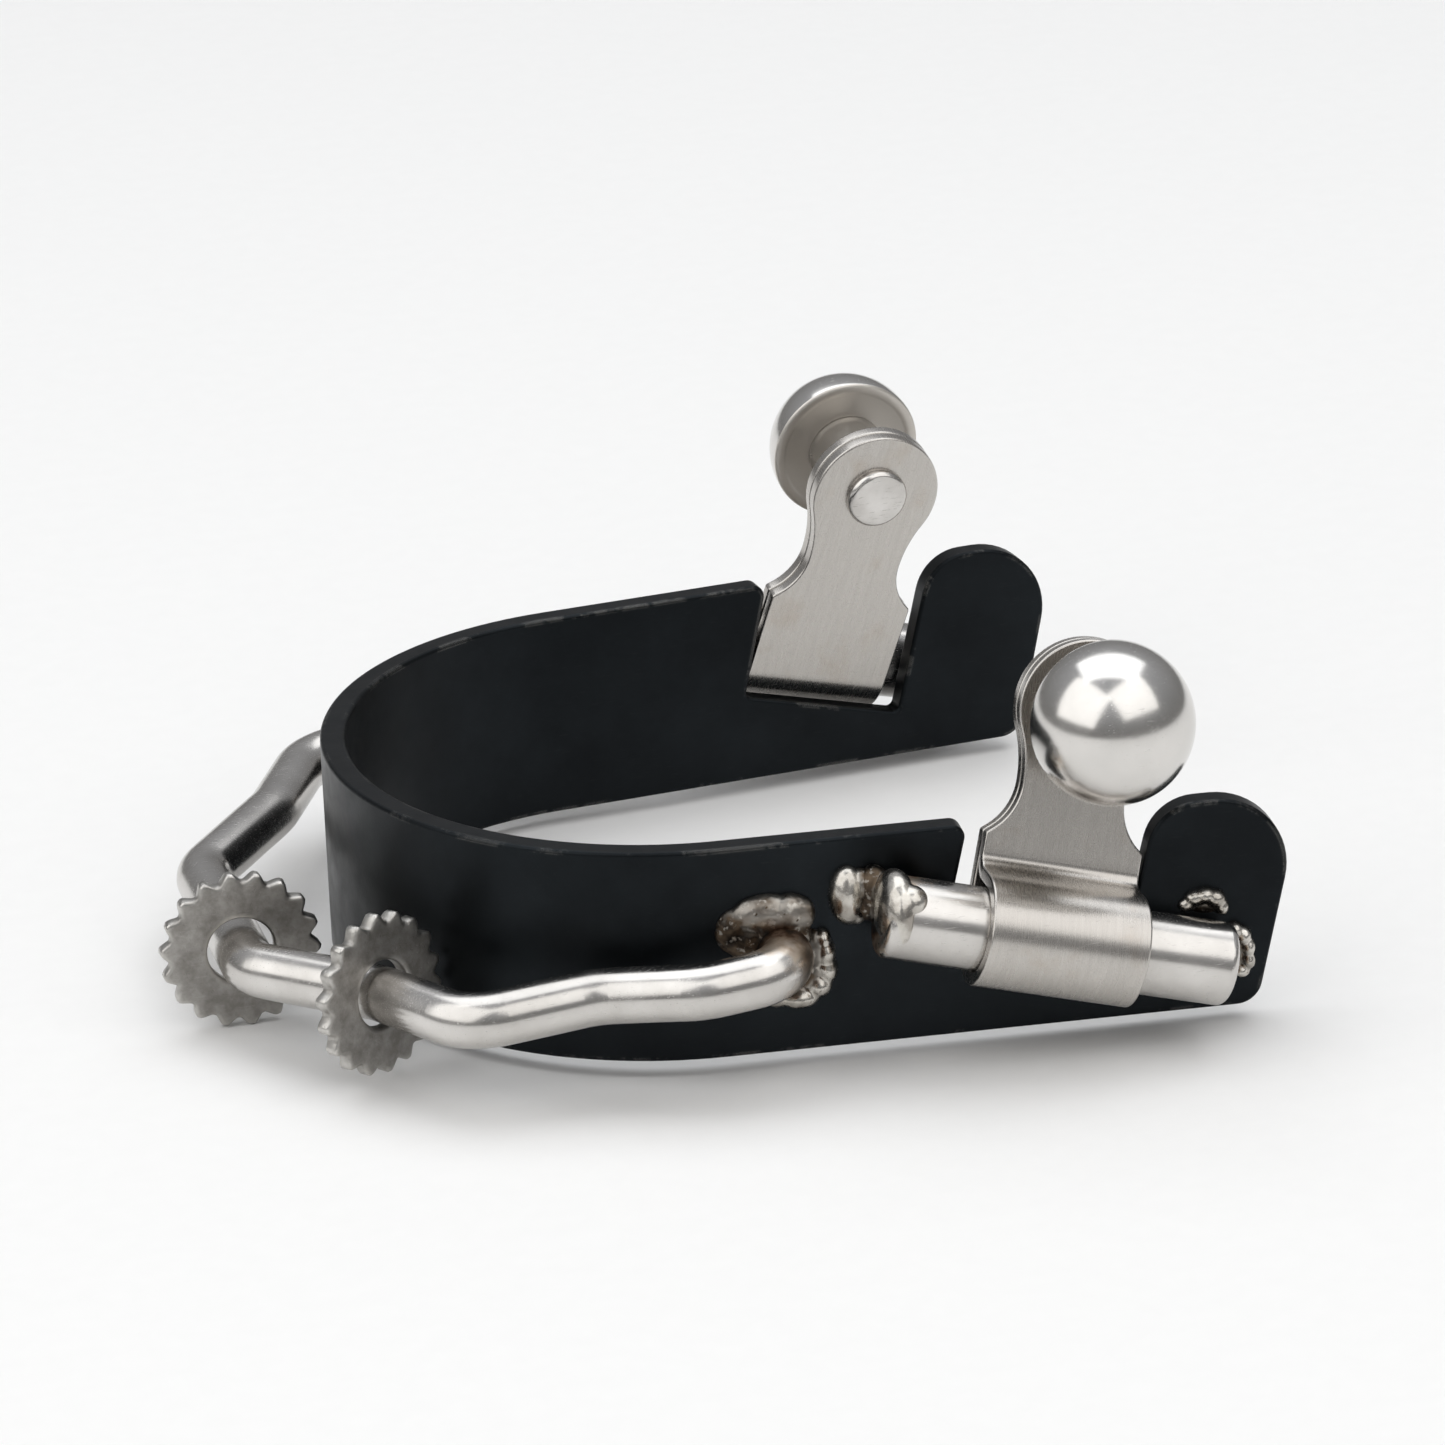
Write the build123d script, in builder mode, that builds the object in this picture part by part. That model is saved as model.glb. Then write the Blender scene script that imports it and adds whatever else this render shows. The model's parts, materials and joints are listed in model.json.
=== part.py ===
from build123d import *
from math import asin, atan, cos, degrees, hypot, pi, radians, sin
import os

# A western bumper spur for one boot.
# Frame: +X towards the toe, +Y towards the wearer's left, +Z up, millimetres.
# The origin is the centre of the spur's footprint, level with the lowest rowel tooth.

HEEL_X = -0.12         # centre of the heel curve, along X
BAND_Z = 1.95          # bottom edge of the heel band, above the lowest rowel tooth

# Heel band: a strip bent on edge into a U
BAND_HEIGHT = 25.4
BAND_THICKNESS = 3.0
HEEL_RX = 37.5         # half axes of the heel curve, at the middle of the strip
HEEL_RY = 40.0
ARM_FLARE = 5.1        # each arm opens outwards towards the toe, degrees
ARM_STOCK_LENGTH = 75.0
BAND_EDGE_RADIUS = 0.45

# Stations along an arm (from the heel centre) and heights above the bottom edge
NOTCH_REAR_TOP = (25.1, BAND_HEIGHT)
NOTCH_REAR_FLOOR = (21.8, 11.0)
NOTCH_FRONT_FLOOR = (42.0, 5.7)
LOBE_REAR_TOP = (46.9, BAND_HEIGHT)
LOBE_FRONT_TOP = (64.0, BAND_HEIGHT)
TIP_BOTTOM = (58.4, 0.0)
NOTCH_RADII = [1.5, 0.8, 0.8]    # rear top, rear floor, front floor
LOBE_RADII = [6.0, 8.5, 3.0]     # rear top, front top, tip bottom
CUT_MARGIN = 5.0                 # waste cutters reach this far past the stock

# Hinge barrel: a plain rod welded across the notch, on the outer face of the arm
BARREL_RADIUS = 4.76
BARREL_LENGTH = 41.0
BARREL_STATION = 33.8
BARREL_HEIGHT = 12.5
BARREL_PITCH = 14.6    # toe end lower, degrees
BARREL_GAP = 0.25      # weld root gap between barrel and arm
BARREL_EDGE = 1.0

# Hanger: a strap folded round the barrel, both leaves meeting above it
STRAP_THICKNESS = 1.6
STRAP_CLEARANCE = 0.08  # running fit on the barrel
STRAP_EDGE = 0.3
HANGER_WIDTH = 18.6
HANGER_LEAN = 12.0     # top of the hanger leans inwards, degrees
SHOULDER_HEIGHT = 10.6
NECK_HEIGHT = 16.4
NECK_HALF_WIDTH = 6.1
HEAD_HEIGHT = 25.8
HEAD_RADIUS = 8.1
CREASE_HEIGHT = 5.6    # where the outer leaf leaves the inner one to pass over the barrel
CREASE_RADIUS = 1.5
SLIDE = {"right": 0.0, "left": -1.5}  # place of each hanger along its barrel

# Strap button
BUTTON_RADIUS = 9.3
BUTTON_RIM = 0.9
BUTTON_EDGE = 0.35
NECK_RADIUS = 4.75
NECK_LENGTH = 8.5
RIVET_RADIUS = 2.5
RIVET_HEAD_RADIUS = 3.8
RIVET_HEAD_HEIGHT = 1.1
RIVET_HEAD_BEVEL = 0.4
RIVET_DEPTH = 5.0      # into the neck

# Rowel bar: one rod in a plane that falls towards the rear
BAR_RADIUS = 3.175
BAR_TOE_HEIGHT = 12.6  # above the band's bottom edge, at the heel centre
BAR_SLOPE = 0.098      # rise per millimetre towards the toe
BAR_CORNERS = [        # (x, half width, bend radius) of one side, weld to crossbar
    (3.0, 49.2, 5.0),
    (-7.5, 49.2, 9.0),
    (-18.5, 43.8, 9.0),
    (-33.2, 43.4, 7.0),
    (-40.4, 29.4, 12.0),
    (-52.2, 15.0, 6.5),
]
BEND = 4               # index of the bend that carries the side rowel

# Rowels
ROWEL_TIP_RADIUS = 9.5
ROWEL_ROOT_RADIUS = 8.2
ROWEL_HOLE_RADIUS = 3.95
ROWEL_THICKNESS = 1.8
ROWEL_TEETH = 18
ROWEL_TOOTH_FLAT = 0.9
ROWEL_EDGE = 0.3
REAR_ROWEL_Y = -8.5

# Weld beads on an arm: centre (station, height), size (along, across, proud), turn
BAR_WELD = ((2.6, 12.7), (12.6, 14.0, 2.6), -20)
REAR_BEAD = ((11.3, 18.4), (4.8, 7.4, 2.2), 8)
REAR_PUDDLE = ((14.2, 17.9), (6.0, 8.6, 3.2), 0)
FRONT_UPPER_BEAD = ((52.2, 12.9), (5.2, 3.0, 1.7), -20)
FRONT_END_BEAD = ((55.4, 6.6), (3.6, 6.8, 1.9), 6)
BEAD_MIDDLE = (0.6, 0.84)        # height and width of a bead's middle section, as shares of the whole
BEAD_CROWN = 0.44                # width of its flat crown

os.makedirs("parts", exist_ok=True)


def save(part, name):
    part.label = name
    export_step(part, f"parts/{name}.step")


def support(growth):
    # Distance from the heel centre to a flared line that touches the heel curve, along its normal
    return hypot((HEEL_RX + growth) * sin(radians(ARM_FLARE)), (HEEL_RY + growth) * cos(radians(ARM_FLARE)))


def arm_plane():
    # Outer face of the right arm: x runs towards the toe, y up, z outwards
    flare = radians(ARM_FLARE)
    start = (HEEL_X, -support(BAND_THICKNESS / 2) / cos(flare), BAND_Z)
    return Plane(origin=start, x_dir=(cos(flare), -sin(flare), 0), z_dir=(-sin(flare), -cos(flare), 0))


def turned(plane, direction, angle):
    # The same plane turned about its own origin
    axis = Axis(plane.origin, direction)
    return Plane(
        origin=plane.origin, x_dir=plane.x_dir.rotate(axis, angle), z_dir=plane.z_dir.rotate(axis, angle)
    )


def moved(plane, place):
    # A parallel plane whose origin is at a place in the first one's own coordinates
    return Plane(origin=plane.from_local_coords(place), x_dir=plane.x_dir, z_dir=plane.z_dir)


ARM = arm_plane()
BARREL_AXIS_OUT = BARREL_GAP + BARREL_RADIUS
BARREL = turned(moved(ARM, (BARREL_STATION, BARREL_HEIGHT, BARREL_AXIS_OUT)), ARM.z_dir, -BARREL_PITCH)
INNER = BARREL_RADIUS + STRAP_CLEARANCE      # inner radius of the fold
OUTER = INNER + STRAP_THICKNESS              # outer radius of the fold


def hanger_plane(side):
    # x along the barrel, y up the hanger, z outwards, on the barrel's axis
    return turned(moved(BARREL, (SLIDE[side], 0, 0)), BARREL.x_dir, -HANGER_LEAN)


def horseshoe(growth, mode):
    # Plan of the band's outline, grown by half the strip's thickness or shrunk by it
    flare = radians(ARM_FLARE)
    rx = HEEL_RX + growth
    ry = HEEL_RY + growth
    reach = support(growth)
    touch_x = -rx * rx * sin(flare) / reach
    touch_y = ry * ry * cos(flare) / reach
    end_x = touch_x + ARM_STOCK_LENGTH * cos(flare)
    end_y = touch_y + ARM_STOCK_LENGTH * sin(flare)
    corners = [(touch_x, -touch_y), (end_x, -end_y), (end_x, end_y), (touch_x, touch_y)]
    with Locations((HEEL_X, 0)):
        Ellipse(rx, ry, mode=mode)
        Polygon(*corners, align=None, mode=mode)


def arm_cutter():
    # What is cut from an arm: the notch, and the waste round the rounded tip
    above = BAND_HEIGHT + CUT_MARGIN
    beyond = ARM_STOCK_LENGTH + CUT_MARGIN
    rim_start = (NOTCH_REAR_TOP[0] - CUT_MARGIN, BAND_HEIGHT)
    rim_end = (TIP_BOTTOM[0] - 2 * CUT_MARGIN, 0)
    with BuildPart() as cutter:
        with BuildSketch(ARM):
            with BuildLine():
                FilletPolyline(
                    rim_start, NOTCH_REAR_TOP, NOTCH_REAR_FLOOR, NOTCH_FRONT_FLOOR,
                    LOBE_REAR_TOP, LOBE_FRONT_TOP, TIP_BOTTOM, rim_end,
                    radius=NOTCH_RADII + LOBE_RADII,
                )
                Polyline(
                    rim_end, (rim_end[0], -CUT_MARGIN), (beyond, -CUT_MARGIN),
                    (beyond, above), (rim_start[0], above), rim_start,
                )
            make_face()
        extrude(amount=BAND_THICKNESS * 2, both=True)
    return cutter.part


with BuildPart() as heel_band:
    with BuildSketch(Plane.XY.offset(BAND_Z)):
        horseshoe(BAND_THICKNESS / 2, Mode.ADD)
        horseshoe(-BAND_THICKNESS / 2, Mode.SUBTRACT)
    extrude(amount=BAND_HEIGHT)
    waste = arm_cutter()
    add(waste, mode=Mode.SUBTRACT)
    add(waste.mirror(Plane.XZ), mode=Mode.SUBTRACT)
    fillet(heel_band.edges(), BAND_EDGE_RADIUS)
save(heel_band.part, "heel_band")


def bar_path():
    # The rod's centre line, right weld to left weld, in the plane that it is bent in
    stretch = 1 / cos(atan(BAR_SLOPE))
    half = [((HEEL_X + x) * stretch, -y) for x, y, _ in BAR_CORNERS]
    radii = [radius for _, _, radius in BAR_CORNERS]
    root = (half[0][0], ARM.origin.Y + BAND_THICKNESS / 2)
    mirrored = [(x, -y) for x, y in reversed(half)]
    points = [root] + half + mirrored + [(root[0], -root[1])]
    return points, radii + radii[::-1]


BAR_PLANE = Plane(
    origin=(0, 0, BAND_Z + BAR_TOE_HEIGHT - BAR_SLOPE * HEEL_X),
    x_dir=(1, 0, BAR_SLOPE),
    z_dir=(-BAR_SLOPE, 0, 1),
)

with BuildPart() as rowel_bar:
    points, radii = bar_path()
    with BuildLine(BAR_PLANE) as centre_line:
        FilletPolyline(*points, radius=radii)
    start = BAR_PLANE.from_local_coords(points[0])
    with BuildSketch(Plane(origin=start, x_dir=BAR_PLANE.x_dir, z_dir=(0, -1, 0))):
        Circle(BAR_RADIUS)
    sweep(path=centre_line.line)
    add(heel_band.part, mode=Mode.SUBTRACT)
save(rowel_bar.part, "rowel_bar")


def rowel(plane, name):
    # A flat disc with blunt pointed teeth and a loose round hole
    pitch = 2 * pi / ROWEL_TEETH
    with BuildPart() as disc:
        with BuildSketch(plane.offset(-ROWEL_THICKNESS / 2)):
            Circle(ROWEL_ROOT_RADIUS)
            tooth_half = ROWEL_ROOT_RADIUS * sin(pitch / 2)
            root_x = ROWEL_ROOT_RADIUS * cos(pitch / 2)
            with PolarLocations(0, ROWEL_TEETH):
                Polygon(
                    (root_x, -tooth_half),
                    (ROWEL_TIP_RADIUS, -ROWEL_TOOTH_FLAT / 2),
                    (ROWEL_TIP_RADIUS, ROWEL_TOOTH_FLAT / 2),
                    (root_x, tooth_half),
                    (0, 0),
                    align=None,
                )
            Circle(ROWEL_HOLE_RADIUS, mode=Mode.SUBTRACT)
        extrude(amount=ROWEL_THICKNESS)
        fillet(disc.edges(), ROWEL_EDGE)
    save(disc.part, name)


def bar_point(x, y):
    return Vector(HEEL_X + x, y, BAND_Z + BAR_TOE_HEIGHT + BAR_SLOPE * x)


crossbar_x = BAR_CORNERS[-1][0]
rowel(Plane(origin=bar_point(crossbar_x, REAR_ROWEL_Y), x_dir=(1, 0, 0), z_dir=(0, 1, 0)), "rear_rowel")

before, bend, after = [bar_point(x, -y) for x, y, _ in BAR_CORNERS[BEND - 1:BEND + 2]]
bend_direction = (bend - before).normalized() + (after - bend).normalized()
side_rowel_plane = Plane(origin=bend, z_dir=bend_direction.normalized())
rowel(side_rowel_plane, "side_rowel")


def finish(part, name, side):
    # Pieces are built on the right arm, and mirrored for the left one
    save(part if side == "right" else part.mirror(Plane.XZ), f"{name}_{side}")


def hinge_barrel():
    with BuildPart() as barrel:
        with BuildSketch(Plane(origin=BARREL.origin, x_dir=BARREL.z_dir, z_dir=BARREL.x_dir)):
            Circle(BARREL_RADIUS)
        extrude(amount=BARREL_LENGTH / 2, both=True)
        fillet(barrel.edges().filter_by(GeomType.CIRCLE), BARREL_EDGE)
    return barrel.part


def bead(centre, size, turn, cutters):
    # A weld bead: a flattened lump on the arm's outer face, moulded against what it joins
    # centre is (station, height), size is (along, across, proud)
    along, across, proud = size
    face = turned(moved(ARM, (centre[0], centre[1], 0)), ARM.z_dir, turn)
    with BuildPart() as lump:
        with BuildSketch(face):
            Ellipse(along / 2, across / 2)
        with BuildSketch(face.offset(proud * BEAD_MIDDLE[0])):
            Ellipse(along / 2 * BEAD_MIDDLE[1], across / 2 * BEAD_MIDDLE[1])
        with BuildSketch(face.offset(proud)):
            Ellipse(along / 2 * BEAD_CROWN, across / 2 * BEAD_CROWN)
        loft()
        for cutter in cutters:
            add(cutter, mode=Mode.SUBTRACT)
    return lump.part


def hanger_section(plane):
    # Section across the barrel, x outwards and y up: the fold and the two leaves above it
    turn = radians(180) - 2 * atan(CREASE_HEIGHT / INNER)
    leaf_face = -OUTER + 2 * STRAP_THICKNESS
    touch = (OUTER * cos(turn), OUTER * sin(turn))
    run = (touch[0] - leaf_face) / sin(turn)
    crease = (leaf_face, touch[1] + run * cos(turn))
    top = HEAD_HEIGHT + HEAD_RADIUS + STRAP_THICKNESS
    gap = [(-INNER, 0), (-INNER, CREASE_HEIGHT), (INNER * cos(turn), INNER * sin(turn)), (0, 0)]
    with BuildSketch(Plane(origin=plane.origin, x_dir=plane.z_dir, z_dir=-plane.x_dir)) as section:
        Circle(OUTER)
        with BuildLine():
            FilletPolyline(touch, crease, (leaf_face, top), radius=CREASE_RADIUS)
            Polyline((leaf_face, top), (-OUTER, top), (-OUTER, 0), (0, 0), touch)
        make_face()
        Circle(INNER, mode=Mode.SUBTRACT)
        Polygon(*gap, align=None, mode=Mode.SUBTRACT)
    return section.sketch


def hanger_outline(plane):
    # Front view, x along the barrel and y up: strap, shoulders, waisted neck and round head
    half = HANGER_WIDTH / 2
    step = half - NECK_HALF_WIDTH
    drop = NECK_HEIGHT - SHOULDER_HEIGHT
    rise = HEAD_HEIGHT - NECK_HEIGHT
    below_radius = (step ** 2 + drop ** 2) / (2 * step)
    swell = HEAD_RADIUS - NECK_HALF_WIDTH
    above_radius = (rise ** 2 + NECK_HALF_WIDTH ** 2 - HEAD_RADIUS ** 2) / (2 * swell)
    below_turn = degrees(asin(drop / below_radius))
    above_turn = degrees(asin(rise / (above_radius + HEAD_RADIUS)))
    neck = (NECK_HALF_WIDTH, NECK_HEIGHT)
    foot = -OUTER - 1
    with BuildSketch(plane) as outline:
        with BuildLine():
            JernArc(start=neck, tangent=(0, -1), radius=below_radius, arc_size=below_turn)
            neck_arc = JernArc(start=neck, tangent=(0, 1), radius=above_radius, arc_size=-above_turn)
            ThreePointArc(neck_arc @ 1, (HEAD_RADIUS, HEAD_HEIGHT), (0, HEAD_HEIGHT + HEAD_RADIUS))
            Polyline((half, SHOULDER_HEIGHT), (half, foot), (0, foot))
            mirror(about=Plane.YZ)
        make_face()
        with Locations((0, HEAD_HEIGHT)):
            Circle(RIVET_RADIUS, mode=Mode.SUBTRACT)
    return outline.sketch


def button_plane(side, out):
    # On the button's axis, at a distance out from the hanger's inner face
    return moved(hanger_plane(side), (0, HEAD_HEIGHT, out - OUTER))


def hanger(side):
    plane = hanger_plane(side)
    with BuildPart() as strap:
        extrude(hanger_section(plane), amount=HANGER_WIDTH, both=True)
        extrude(hanger_outline(plane), amount=OUTER + 1, both=True, mode=Mode.INTERSECT)
        fillet(strap.edges(), STRAP_EDGE)
        with BuildSketch(button_plane(side, STRAP_THICKNESS)):
            Circle(NECK_RADIUS)
        extrude(amount=STRAP_THICKNESS, mode=Mode.SUBTRACT)
    return strap.part


def button(side):
    # A turned dome on a thin rim; its flat back faces the hanger
    base = button_plane(side, 2 * STRAP_THICKNESS + NECK_LENGTH)
    with BuildPart() as dome:
        with BuildSketch(Plane(origin=base.origin, x_dir=base.x_dir, z_dir=-base.y_dir)):
            with BuildLine():
                rim = (BUTTON_RADIUS, BUTTON_RIM)
                crown = (0, BUTTON_RIM + BUTTON_RADIUS)
                Polyline(crown, (0, 0), (BUTTON_RADIUS - BUTTON_EDGE, 0), (BUTTON_RADIUS, BUTTON_EDGE), rim)
                CenterArc((0, BUTTON_RIM), BUTTON_RADIUS, 0, 90)
            make_face()
        revolve(axis=Axis(base.origin, base.z_dir))
    return dome.part


def button_neck(side):
    # A short rod from the hanger's inner leaf, through its outer one, to the dome, drilled for the rivet
    with BuildPart() as neck:
        with BuildSketch(button_plane(side, STRAP_THICKNESS)):
            Circle(NECK_RADIUS)
        extrude(amount=STRAP_THICKNESS + NECK_LENGTH)
        with BuildSketch(button_plane(side, STRAP_THICKNESS)):
            Circle(RIVET_RADIUS)
        extrude(amount=RIVET_DEPTH, mode=Mode.SUBTRACT)
    return neck.part


def button_rivet(side):
    # A bevelled flat head on the hanger's inner face, and the shank that holds the button on
    with BuildPart() as rivet:
        with BuildSketch(button_plane(side, 0)):
            Circle(RIVET_HEAD_RADIUS)
        extrude(amount=-RIVET_HEAD_HEIGHT)
        outer_edge = rivet.edges().filter_by(GeomType.CIRCLE).sort_by(Axis(ARM.origin, ARM.z_dir))[0]
        chamfer(outer_edge, RIVET_HEAD_BEVEL)
        with BuildSketch(button_plane(side, 0)):
            Circle(RIVET_RADIUS)
        extrude(amount=STRAP_THICKNESS + RIVET_DEPTH)
    return rivet.part


barrel_part = hinge_barrel()
bar_weld = bead(*BAR_WELD, [rowel_bar.part])
rear_puddle = bead(*REAR_PUDDLE, [barrel_part])
rear_bead = bead(*REAR_BEAD, [barrel_part, rear_puddle])
front_upper_bead = bead(*FRONT_UPPER_BEAD, [barrel_part])
front_end_bead = bead(*FRONT_END_BEAD, [barrel_part, front_upper_bead])

for side in ("right", "left"):
    finish(barrel_part, "hinge_barrel", side)
    finish(bar_weld, "rowel_bar_weld", side)
    finish(rear_bead, "rear_bead", side)
    finish(rear_puddle, "rear_puddle", side)
    finish(front_upper_bead, "front_upper_bead", side)
    finish(front_end_bead, "front_end_bead", side)
    finish(hanger(side), "hanger", side)
    finish(button(side), "button", side)
    finish(button_neck(side), "button_neck", side)
    finish(button_rivet(side), "button_rivet", side)
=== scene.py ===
import json
from math import asin, atan, cos, hypot, pi, radians, sin

import bmesh
import bpy
from mathutils import Matrix, Vector, noise


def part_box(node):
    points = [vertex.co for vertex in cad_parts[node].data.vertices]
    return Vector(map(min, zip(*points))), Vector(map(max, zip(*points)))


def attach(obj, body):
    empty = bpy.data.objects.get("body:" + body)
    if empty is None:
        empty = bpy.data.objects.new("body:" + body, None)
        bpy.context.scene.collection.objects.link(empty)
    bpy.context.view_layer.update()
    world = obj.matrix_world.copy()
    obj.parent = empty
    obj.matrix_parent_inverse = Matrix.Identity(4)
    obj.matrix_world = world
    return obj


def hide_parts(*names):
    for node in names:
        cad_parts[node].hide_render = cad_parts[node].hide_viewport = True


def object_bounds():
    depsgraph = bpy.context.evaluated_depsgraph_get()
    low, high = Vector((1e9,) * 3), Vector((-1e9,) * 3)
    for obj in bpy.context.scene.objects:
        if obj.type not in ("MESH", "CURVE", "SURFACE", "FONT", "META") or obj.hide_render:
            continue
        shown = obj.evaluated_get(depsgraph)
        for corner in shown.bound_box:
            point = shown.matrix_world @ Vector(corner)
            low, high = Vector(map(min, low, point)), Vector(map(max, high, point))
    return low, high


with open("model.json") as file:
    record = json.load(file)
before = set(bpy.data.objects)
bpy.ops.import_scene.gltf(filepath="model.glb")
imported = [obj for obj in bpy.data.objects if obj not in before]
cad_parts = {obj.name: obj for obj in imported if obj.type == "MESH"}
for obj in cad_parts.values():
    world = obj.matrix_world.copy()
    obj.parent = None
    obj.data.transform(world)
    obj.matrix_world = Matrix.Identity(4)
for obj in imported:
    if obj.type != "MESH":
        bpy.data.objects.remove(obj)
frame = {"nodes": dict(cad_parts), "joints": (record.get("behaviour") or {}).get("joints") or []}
cad_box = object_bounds()

# Heel band. A 25 mm strip of 3 mm spring steel, bent on edge into a U that grips the boot's heel.
# Each arm is notched for a hanger and rounded at its tip. It is blackened all over, a satin finish
# that rubs through to bright steel on its edges.
MM = 0.001
HEEL_X = -0.12 * MM
HEEL_Y_AXIS = 40.0 * MM
HEEL_X_AXIS = 37.5 * MM
BAND_THICKNESS = 3.0 * MM
BAND_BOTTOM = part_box("heel_band")[0].z
ARM_FLARE = radians(5.1)
BLACKING_DARK = (0.0085, 0.0102, 0.0118, 1)
BLACKING_LIGHT = (0.0135, 0.0165, 0.0190, 1)
BARE_STEEL = (0.40, 0.385, 0.36, 1)


def add_node(tree, kind, inputs=None, **settings):
    # A node with its settings, and its inputs either linked or given a value
    made = tree.nodes.new(kind)
    for setting, value in settings.items():
        setattr(made, setting, value)
    for socket, value in (inputs or {}).items():
        if isinstance(value, bpy.types.NodeSocket):
            tree.links.new(value, made.inputs[socket])
        else:
            made.inputs[socket].default_value = value
    return made


def calculate(tree, operation, first, second=0.0, third=0.0, clamp=False):
    return add_node(
        tree, "ShaderNodeMath", {0: first, 1: second, 2: third}, operation=operation, use_clamp=clamp
    ).outputs[0]


def remap(tree, value, low, high, to_low=0.0, to_high=1.0):
    return add_node(
        tree, "ShaderNodeMapRange", {0: value, 1: low, 2: high, 3: to_low, 4: to_high}
    ).outputs[0]


def blend_colours(tree, share, first, second):
    return add_node(
        tree, "ShaderNodeMix", {0: share, 6: first, 7: second}, data_type="RGBA"
    ).outputs[2]


def speckle(tree, vector, scale, detail=4.0, roughness=0.55):
    return add_node(
        tree, "ShaderNodeTexNoise",
        {"Vector": vector, "Scale": scale, "Detail": detail, "Roughness": roughness},
    ).outputs["Fac"]


def start_group(name, inputs, outputs):
    # An empty effect with named inputs, each (name, socket type, value), and named outputs
    group = bpy.data.node_groups.new(name, "ShaderNodeTree")
    for socket, kind, value in inputs:
        made = group.interface.new_socket(socket, in_out="INPUT", socket_type=kind)
        if value is not None:
            made.default_value = value
    for socket, kind in outputs:
        group.interface.new_socket(socket, in_out="OUTPUT", socket_type=kind)
    return group, group.nodes.new("NodeGroupInput").outputs, group.nodes.new("NodeGroupOutput").inputs


def place_group(tree, group, inputs):
    return add_node(tree, "ShaderNodeGroup", inputs, node_tree=group).outputs


def start_metal(name):
    # A material with one Principled shader, and where its surface lies on the piece, in metres
    material = bpy.data.materials.new(name)
    material.use_nodes = True
    tree = material.node_tree
    tree.nodes.clear()
    output = tree.nodes.new("ShaderNodeOutputMaterial")
    shader = tree.nodes.new("ShaderNodeBsdfPrincipled")
    tree.links.new(shader.outputs["BSDF"], output.inputs["Surface"])
    place = tree.nodes.new("ShaderNodeTexCoord").outputs["Object"]
    return material, tree, shader, place


def finish_metal(tree, shader, colour, roughness, height, depth, metallic=1.0):
    # Feeds the shader; depth is the height of the relief in metres
    bump = add_node(tree, "ShaderNodeBump", {"Height": height, "Distance": depth, "Strength": 1.0})
    tree.links.new(colour, shader.inputs["Base Color"])
    tree.links.new(roughness, shader.inputs["Roughness"])
    tree.links.new(bump.outputs["Normal"], shader.inputs["Normal"])
    shader.inputs["Metallic"].default_value = metallic


def dress(names, material):
    # A CAD node keeps its shape and gets this material in each of its slots
    for name in names:
        for slot in frame["nodes"][name].material_slots:
            slot.material = material


def edge_wear_group():
    # Where a corner has been rubbed: wide on sharp edges, broken up by a coarse and a fine speckle
    group, given, out = start_group(
        "edge_wear",
        [("Place", "NodeSocketVector", None), ("Reach", "NodeSocketFloat", 0.0008),
         ("Coverage", "NodeSocketFloat", 0.5)],
        [("Wear", "NodeSocketFloat")],
    )
    rounded = add_node(group, "ShaderNodeBevel", {"Radius": given["Reach"]}, samples=6).outputs[0]
    facing = add_node(group, "ShaderNodeNewGeometry").outputs["Normal"]
    agreement = add_node(group, "ShaderNodeVectorMath", {0: rounded, 1: facing}, operation="DOT_PRODUCT")
    corner = remap(group, agreement.outputs["Value"], 0.995, 0.90)
    patches = speckle(group, given["Place"], 160.0, 3.0)
    nicks = speckle(group, given["Place"], 1400.0, 3.0)
    broken = calculate(group, "MULTIPLY_ADD", nicks, 0.35, patches)
    threshold = remap(group, given["Coverage"], 0.0, 1.0, 1.0, 0.35)
    shown = remap(group, calculate(group, "SUBTRACT", broken, threshold), -0.02, 0.06)
    group.links.new(calculate(group, "MULTIPLY", corner, shown, clamp=True), out["Wear"])
    return group


def scratches_group():
    # Hairlines in two directions, and the soft haze left by a polishing cloth
    group, given, out = start_group(
        "scratches",
        [("Place", "NodeSocketVector", None), ("Fineness", "NodeSocketFloat", 900.0)],
        [("Lines", "NodeSocketFloat"), ("Haze", "NodeSocketFloat")],
    )
    lines = None
    for turn, stretch in ((0.35, 0.03), (-0.9, 0.045)):
        turned = (turn, turn * 0.7, turn * 1.6)
        laid = add_node(
            group, "ShaderNodeMapping",
            {"Vector": given["Place"], "Rotation": turned, "Scale": (stretch, 1, 1)},
        ).outputs[0]
        hair = remap(group, speckle(group, laid, given["Fineness"], 2.0), 0.66, 0.72)
        lines = hair if lines is None else calculate(group, "MAXIMUM", lines, hair)
    group.links.new(lines, out["Lines"])
    group.links.new(speckle(group, given["Place"], 240.0, 5.0), out["Haze"])
    return group


EDGE_WEAR = edge_wear_group()
SCRATCHES = scratches_group()

black_steel, tree, shader, place = start_metal("blackened_steel")
marks = place_group(tree, SCRATCHES, {"Place": place, "Fineness": 5200.0})
clouds = speckle(tree, place, 55.0, 5.0, 0.6)
worn = place_group(tree, EDGE_WEAR, {"Place": place, "Reach": 0.7 * MM, "Coverage": 0.42})["Wear"]
colour = blend_colours(tree, remap(tree, clouds, 0.35, 0.68), BLACKING_DARK, BLACKING_LIGHT)
colour = blend_colours(tree, calculate(tree, "MULTIPLY", marks["Lines"], 0.008), colour, BARE_STEEL)
colour = blend_colours(tree, calculate(tree, "MULTIPLY", worn, 0.8), colour, BARE_STEEL)
roughness = remap(tree, marks["Haze"], 0.3, 0.7, 0.32, 0.44)
roughness = calculate(tree, "SUBTRACT", roughness, calculate(tree, "MULTIPLY", worn, 0.08))
grain = speckle(tree, place, 2600.0, 3.0)
height = calculate(tree, "MULTIPLY_ADD", clouds, 2.0, grain)
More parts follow.
